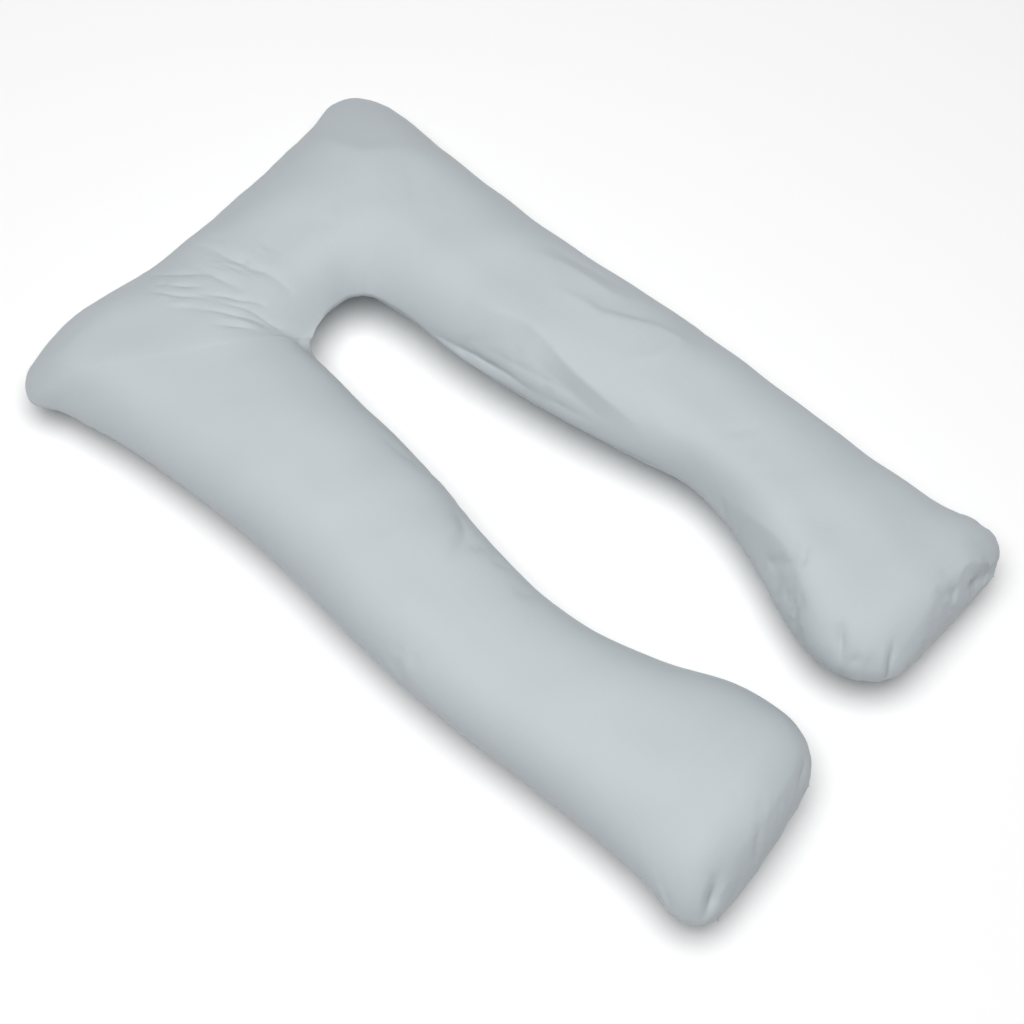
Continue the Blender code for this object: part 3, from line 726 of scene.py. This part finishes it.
# Columns: station, pucker rise at the outer seam and at the inner seam, in mm.
PUCKERS = np.array([
    (0.00, 0.7, 0.5), (0.08, 0.6, 0.4), (0.20, 0.2, 0.2), (0.60, 0.2, 0.3), (0.95, 0.2, 0.3),
    (1.12, 0.3, 0.3), (1.20, 0.5, 0.2), (1.30, 0.3, 0.2), (1.50, 0.3, 0.2), (1.62, 0.5, 0.2),
    (1.75, 0.3, 0.2), (2.00, 0.2, 0.2), (2.30, 0.2, 0.3), (2.60, 0.2, 0.3), (2.72, 0.6, 0.7),
    (2.80, 0.8, 0.8),
])


def waves(points, shortest, longest, count, seed):
    """An uneven height at each point: a sum of sine waves in random directions, whose mean square is 1."""
    rng = np.random.default_rng(seed)
    directions = rng.normal(size=(count, 3))
    directions /= np.linalg.norm(directions, axis=1, keepdims=True)
    lengths = shortest * (longest / shortest) ** rng.random(count)
    phases = rng.random(count) * 2 * np.pi
    waved = np.sin(points @ (directions / lengths[:, None]).T * 2 * np.pi + phases)
    return waved.sum(axis=-1) / np.sqrt(count / 2)


def lengths_along(panel, axis):
    """The length of the cloth from the panel's first row or column to each point."""
    steps = np.linalg.norm(np.diff(panel, axis=axis), axis=2)
    steps = np.concatenate([np.zeros_like(steps.take([0], axis=axis)), steps], axis=axis)
    return np.cumsum(steps, axis=axis)


def from_borders(panel):
    """Each point's distance over the cloth from the outer seam, the inner seam and both feet's end seams."""
    across, along = lengths_along(panel, 1), lengths_along(panel, 0)
    return across, across[:, -1:] - across, along, along[-1:] - along


def along_floor(directions):
    """The part of each direction that lies along the floor, one unit long."""
    flat = directions * np.array([1, 1, 0])
    return flat / np.linalg.norm(flat, axis=-1, keepdims=True)


def turned_in_groove(panel, normals, out_of_seam):
    """The panel's normals, turned level within the groove.

    out_of_seam holds the level direction out of the pillow at each point of the panel's border. Both panels
    take it from the top, so that they sink into the groove side by side and don't cross. The level
    direction counts fully at the seam, and less by a bell curve of the distance, GROOVE_WIDTH wide.
    """
    shares = [np.exp(-(distance / GROOVE_WIDTH) ** 2)[..., None] for distance in from_borders(panel)]
    borders = out_of_seam[:, :1], out_of_seam[:, -1:], out_of_seam[:1], out_of_seam[-1:]
    turned = normals * (1 - np.maximum.reduce(shares))
    turned += sum(share * border for share, border in zip(shares, borders))
    return turned / np.linalg.norm(turned, axis=-1, keepdims=True)


def sewn_rise(panel, stations):
    """How far the groove, puckers and lumps lift each point, and what share of a crease it takes.

    A pucker has one height along its whole length, that of the seam point it starts from. It dies away with
    the distance from that seam, as an exponential does. The groove goes down by a bell curve of the distance
    from the nearest seam. The share of a crease is 0 at the seam and nears 1 as an exponential does.
    """
    outer, inner, first, last = from_borders(panel)
    outer_rise, inner_rise = smooth(PUCKERS[:, 0], PUCKERS[:, 1:], stations).T / MM_PER_METRE
    end_rises = PUCKERS[[0, -1], 1] / MM_PER_METRE
    seams = (
        (outer, outer_rise[:, None], panel[:, :1]), (inner, inner_rise[:, None], panel[:, -1:]),
        (first, end_rises[0], panel[:1]), (last, end_rises[1], panel[-1:]),
    )
    rise = np.zeros(panel.shape[:2])
    for distance, height, seam in seams:
        ripple = waves(seam, shortest=0.011, longest=0.034, count=9, seed=4)
        rise += height * ripple * np.exp(-distance / PUCKER_REACH) * (1 - np.exp(-distance / PUCKER_START))
    nearest = np.minimum(np.minimum(outer, inner), np.minimum(first, last))
    off_seam = 1 - np.exp(-nearest / EASE_FROM_SEAM)
    off_floor = np.clip(panel[..., 2] / EASE_FROM_FLOOR, 0, 1)
    lumps = waves(panel, shortest=0.09, longest=0.30, count=16, seed=11)
    rise += LUMP_RISE * lumps * off_seam
    rise *= off_floor
    rise -= GROOVE_DEPTH * np.exp(-(nearest / GROOVE_WIDTH) ** 2)
    return rise, off_seam


def finished(top, under, stations):
    """Both panels with every small rise added along their normals, and the underside kept off the floor."""
    top_normals, under_normals = row_normals(top, 1), row_normals(under, -1)
    out_of_seam = along_floor(top_normals)
    top_normals = turned_in_groove(top, top_normals, out_of_seam)
    under_normals = turned_in_groove(under, under_normals, out_of_seam[:, ::2])
    top_rise, off_seam = sewn_rise(top, stations)
    under_rise, _ = sewn_rise(under, stations)
    cloth = top.reshape(-1, 3)
    folds = sum(crease_rise(cloth, crease) for crease in CREASES).reshape(top.shape[:2])
    top_rise += folds * off_seam
    print("creases from", folds.min().round(4), "to", folds.max().round(4))
    top = top + top_rise[..., None] * top_normals
    under = under + under_rise[..., None] * under_normals
    under[..., 2] = np.maximum(under[..., 2], 0)
    return top, under


cover = cover_object("pillow_cover", *finished(top, under, stations))
print("cover", len(cover.data.vertices), "points,", len(cover.data.polygons), "faces")

# %% [markdown]
# ## The cloth itself
#
# The cover is a plain weave of fine cool grey yarn, brushed a little, so it is matt with a faint soft gloss.
# What the eye sees from across a room is not the yarn but how evenly the light runs over it: slightly uneven
# dye, thicker yarns here and there, and a very shallow crumple. Close to, the weave itself shows.
#
# A weave belongs to the cloth and not to space, so it is drawn on the *flat pattern*: the panels before they
# were sewn. Each point's place on it is found by walking over the cloth from the crest. The underside gets a
# pattern of its own, a metre to the side.

# %% Lay the flat pattern
UNDER_PATTERN = (1.0, 0.0)   # metres between the top's pattern and the underside's


def flat_pattern(panel, shift):
    """Each point's place on the flat pattern, in metres.

    The crest keeps its own course in plan, but with its true length. From there a point lies its distance
    over the cloth away, in the direction from its section's outer seam to its inner seam.
    """
    middle = panel.shape[1] // 2
    steps = np.diff(panel[:, middle], axis=0)
    headings = steps[:, :2] / np.linalg.norm(steps[:, :2], axis=1, keepdims=True)
    course = np.cumsum(headings * np.linalg.norm(steps, axis=1, keepdims=True), axis=0)
    crest = panel[0, middle, :2] + np.concatenate([[[0, 0]], course]) + np.array(shift)
    across = lengths_along(panel, 1)
    across -= across[:, middle:middle + 1]
    ways = panel[:, -1, :2] - panel[:, 0, :2]
    ways /= np.linalg.norm(ways, axis=1, keepdims=True)
    return crest[:, None] + across[..., None] * ways[:, None]


def lay_pattern(piece, top_pattern, under_pattern):
    """Gives the piece its flat pattern as a UV map: first the corners of the top's faces, then all others.

    Along a foot's end seam the underside misses every second point of the top, and takes the mean of the two
    beside it.
    """
    top_numbers, under_numbers = point_numbers(*top_pattern.shape[:2])
    on_top, on_under = np.zeros((2, len(piece.data.vertices), 2))
    on_top[top_numbers] = top_pattern
    on_under[under_numbers] = under_pattern
    for row in (0, -1):
        on_under[top_numbers[row, 1::2]] = (under_pattern[row, :-1] + under_pattern[row, 1:]) / 2
    corners = np.empty(len(piece.data.loops), np.int32)
    piece.data.loops.foreach_get("vertex_index", corners)
    places = on_under[corners]
    top_corners = sum(group.size for group in cover_faces(*top_numbers.shape)[:2])
    places[:top_corners] = on_top[corners[:top_corners]]
    layer = piece.data.uv_layers.new(name="flat_pattern")
    layer.uv.foreach_set("vector", places.ravel().astype(np.float32))
    return places


pattern = lay_pattern(cover, flat_pattern(top, (0, 0)), flat_pattern(under, UNDER_PATTERN))
print("flat pattern, metres:", pattern.min(axis=0).round(2), "to", pattern.max(axis=0).round(2))

# %% [markdown]
# ## Shader maths in plain Python
#
# A material is a small sum worked out at every point of the surface. Written as nodes it is hard to read, so
# one small class stands for a value on its way between nodes. Adding, subtracting or multiplying such values
# puts the Math nodes in.

# %% A value in a material


class Value:
    """An output socket of a node. Sums, differences and products of values add a Math node."""

    tree = None   # the material's nodes, set before its first value is made

    def __init__(self, socket):
        self.socket = socket

    @classmethod
    def of(cls, kind, settings=(), inputs=(), output=0):
        """Adds a node. Its settings come first, and then the value or the link of each named input."""
        node = cls.tree.nodes.new(kind)
        for name, setting in dict(settings).items():
            setattr(node, name, setting)
        for name, given in dict(inputs).items():
            if isinstance(given, Value):
                cls.tree.links.new(given.socket, node.inputs[name])
            else:
                node.inputs[name].default_value = given
        return cls(node.outputs[output])

    @classmethod
    def math(cls, operation, *terms):
        return cls.of("ShaderNodeMath", {"operation": operation}, enumerate(terms))

    def __add__(self, other):
        return self.math("ADD", self, other)

    def __sub__(self, other):
        return self.math("SUBTRACT", self, other)

    def __rsub__(self, other):
        return self.math("SUBTRACT", other, self)

    def __mul__(self, other):
        return self.math("MULTIPLY", self, other)

    __radd__ = __add__
    __rmul__ = __mul__


# %% [markdown]
# ## What the cloth is made of
#
# - **Weave**: two sets of yarns, each a sine wave across the other. Where one passes over, it stands proud,
#   so the height is the product of the two waves.
# - **Slubs**: no yarn is even. Noise stretched along the yarns makes faint streaks, darker and lighter.
# - **Crumple**: a very shallow relief a few centimetres wide, from having been folded and slept on.
# - **Dye**: clouds a hand wide that make the grey a trace lighter or darker, and warmer or cooler.

# %% Noise and yarns on the flat pattern
YARN_PITCH = 0.0009   # metres from one yarn to the next
NOISE_ROUGHNESS = 0.55


def noise(place, per_metre, stretch=(1, 1, 1), detail=2.0):
    """Noise from about -1 to 1, with clouds 1 / per_metre metres wide, longer where stretch is below 1."""
    stretched = Value.of("ShaderNodeVectorMath", {"operation": "MULTIPLY"}, {0: place, 1: stretch})
    found = Value.of(
        "ShaderNodeTexNoise", {"noise_dimensions": "2D"},
        {"Vector": stretched, "Scale": per_metre, "Detail": detail, "Roughness": NOISE_ROUGHNESS},
    )
    return found * 2 - 1


def yarns(place, axis):
    """The sine of the place along one axis: 1 on the middle of a yarn, and -1 between two."""
    across = Value.of("ShaderNodeSeparateXYZ", {}, {"Vector": place}, output=axis)
    return Value.math("SINE", across * (2 * math.pi / YARN_PITCH))


# %% The cover's cloth
LIGHT_YARN = (0.492, 0.534, 0.557, 1)
DARK_YARN = (0.446, 0.489, 0.517, 1)
SLUBS_PER_METRE, CRUMPLES_PER_METRE, CLOUDS_PER_METRE = 260, 45, 7
SLUB_STRETCH = 0.06   # a slub is this share as wide as it is long
DYE_SHADE, SLUB_SHADE, YARN_SHADE = 0.35, 0.12, 0.06   # of the way from the dark yarn to the light one
YARN_HEIGHT, SLUB_HEIGHT, CRUMPLE_HEIGHT = 0.00003, 0.00002, 0.00008   # metres
ROUGHNESS = 0.50
SLUB_ROUGHNESS, DYE_ROUGHNESS = 0.05, 0.04   # how much rougher the light patches are
GLOSS = 0.25          # specular level: cotton is matt
FUZZ = 0.03           # sheen of the loose fibres
FUZZ_ROUGHNESS = 0.5


def cover_cloth():
    """The grey cotton: its colour, relief and gloss are sums of the weave, slubs, crumple and dye."""
    material = bpy.data.materials.new("grey_woven_cotton")
    material.use_nodes = True
    Value.tree = material.node_tree
    place = Value.of("ShaderNodeUVMap", {"uv_map": "flat_pattern"})
    weave = yarns(place, "X") * yarns(place, "Y")
    slubs = (
        noise(place, SLUBS_PER_METRE, stretch=(1, SLUB_STRETCH, 1))
        + noise(place, SLUBS_PER_METRE, stretch=(SLUB_STRETCH, 1, 1))
    )
    crumple = noise(place, CRUMPLES_PER_METRE, detail=3.0)
    dye = noise(place, CLOUDS_PER_METRE, detail=1.5)
    lightness = 0.5 + DYE_SHADE * dye + SLUB_SHADE * slubs + YARN_SHADE * weave
    colour = Value.of(
        "ShaderNodeMix", {"data_type": "RGBA"},
        {"Factor": lightness, "A": DARK_YARN, "B": LIGHT_YARN}, output="Result",
    )
    height = YARN_HEIGHT * weave + SLUB_HEIGHT * slubs + CRUMPLE_HEIGHT * crumple
    relief = Value.of("ShaderNodeBump", {}, {"Strength": 1.0, "Distance": 1.0, "Height": height})
    shader = material.node_tree.nodes["Principled BSDF"]
    roughness = ROUGHNESS + SLUB_ROUGHNESS * slubs + DYE_ROUGHNESS * dye
    for name, value in (("Base Color", colour), ("Roughness", roughness), ("Normal", relief)):
        material.node_tree.links.new(value.socket, shader.inputs[name])
    shader.inputs["Specular IOR Level"].default_value = GLOSS
    shader.inputs["Sheen Weight"].default_value = FUZZ
    shader.inputs["Sheen Roughness"].default_value = FUZZ_ROUGHNESS
    return material


cover.data.materials.append(cover_cloth())
print("cloth:", len(cover.data.materials[0].node_tree.nodes), "nodes")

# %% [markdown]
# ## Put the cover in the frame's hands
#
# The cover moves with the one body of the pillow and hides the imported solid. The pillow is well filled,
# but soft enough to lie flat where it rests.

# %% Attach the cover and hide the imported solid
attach(cover, "root")
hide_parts("body_pillow")
print("cover's place:", [round(v, 4) for v in cover.location], "materials:", len(cover.data.materials))

# %% [markdown]
# ## Floor, light and camera
#
# The pillow lies on a plain pale floor. One large round lamp hangs above it, a little towards the left leg
# and the feet, so that the sides shade gently and the far sides a little more than the near ones. The rest
# is dim white from all round, which keeps the folds open.

# %% The floor
FLOOR_REACH = 6.0   # metres from the middle to each side


def plain_material(name, colour, roughness, gloss):
    """One even colour, for what isn't a piece of the pillow."""
    material = bpy.data.materials.new(name)
    material.use_nodes = True
    shader = material.node_tree.nodes["Principled BSDF"]
    shader.inputs["Base Color"].default_value = (*colour, 1)
    shader.inputs["Roughness"].default_value = roughness
    shader.inputs["Specular IOR Level"].default_value = gloss
    return material


floor_mesh = bpy.data.meshes.new("floor")
corners = [(-FLOOR_REACH, -FLOOR_REACH, 0), (FLOOR_REACH, -FLOOR_REACH, 0),
           (FLOOR_REACH, FLOOR_REACH, 0), (-FLOOR_REACH, FLOOR_REACH, 0)]
floor_mesh.from_pydata(corners, [], [(0, 1, 2, 3)])
pale = plain_material("pale_floor", colour=(0.9, 0.9, 0.9), roughness=0.9, gloss=0.1)
floor_mesh.materials.append(pale)
floor = bpy.data.objects.new("floor", floor_mesh)
bpy.context.scene.collection.objects.link(floor)
print("floor", 2 * FLOOR_REACH, "metres square")

# %% The light
LAMP_PLACE = Vector((-0.8, -0.2, 6.0))
LAMP_WIDTH = 6.0     # metres across
LAMP_POWER = 464.0   # watts
LAMP_AIM = Vector((0, 0, 0.1))
ALL_ROUND = 0.10     # strength of the white that comes from all round


def facing(direction):
    """The turn that points an object's +Z along this direction, as a lamp and a camera look along -Z."""
    return direction.to_track_quat("Z", "Y").to_matrix().to_4x4()


lamp_data = bpy.data.lights.new("soft_lamp", "AREA")
lamp_data.shape = "DISK"
lamp_data.size = LAMP_WIDTH
lamp_data.energy = LAMP_POWER
lamp = bpy.data.objects.new("soft_lamp", lamp_data)
lamp.matrix_world = Matrix.Translation(LAMP_PLACE) @ facing(LAMP_PLACE - LAMP_AIM)
bpy.context.scene.collection.objects.link(lamp)
world = bpy.data.worlds.new("white_room")
world.use_nodes = True
world.node_tree.nodes["Background"].inputs["Color"].default_value = (1, 1, 1, 1)
world.node_tree.nodes["Background"].inputs["Strength"].default_value = ALL_ROUND
bpy.context.scene.world = world
print("lamp", round((LAMP_PLACE - LAMP_AIM).length, 2), "metres from what it is aimed at")

# %% The camera
CAMERA_AZIMUTH = math.radians(-53.108)
CAMERA_HEIGHT_ANGLE = math.radians(62.901)
CAMERA_ROLL = math.radians(2.896)
CAMERA_DISTANCE = 3.54
CAMERA_AIM = Vector((-0.0565, -0.0646, 0.08))
LENS, SENSOR = 80.16, 36.0   # millimetres

towards_camera = Vector((
    math.sin(CAMERA_AZIMUTH) * math.cos(CAMERA_HEIGHT_ANGLE),
    -math.cos(CAMERA_AZIMUTH) * math.cos(CAMERA_HEIGHT_ANGLE),
    math.sin(CAMERA_HEIGHT_ANGLE),
))
camera_data = bpy.data.cameras.new("camera")
camera_data.lens, camera_data.sensor_width = LENS, SENSOR
camera = bpy.data.objects.new("camera", camera_data)
camera.matrix_world = (
    Matrix.Translation(CAMERA_AIM + towards_camera * CAMERA_DISTANCE)
    @ facing(towards_camera)
    @ Matrix.Rotation(CAMERA_ROLL, 4, "Z")
)
bpy.context.scene.collection.objects.link(camera)
bpy.context.scene.camera = camera
print("camera at", [round(v, 2) for v in camera.matrix_world.translation])
bpy.context.scene.view_settings.view_transform = "Standard"
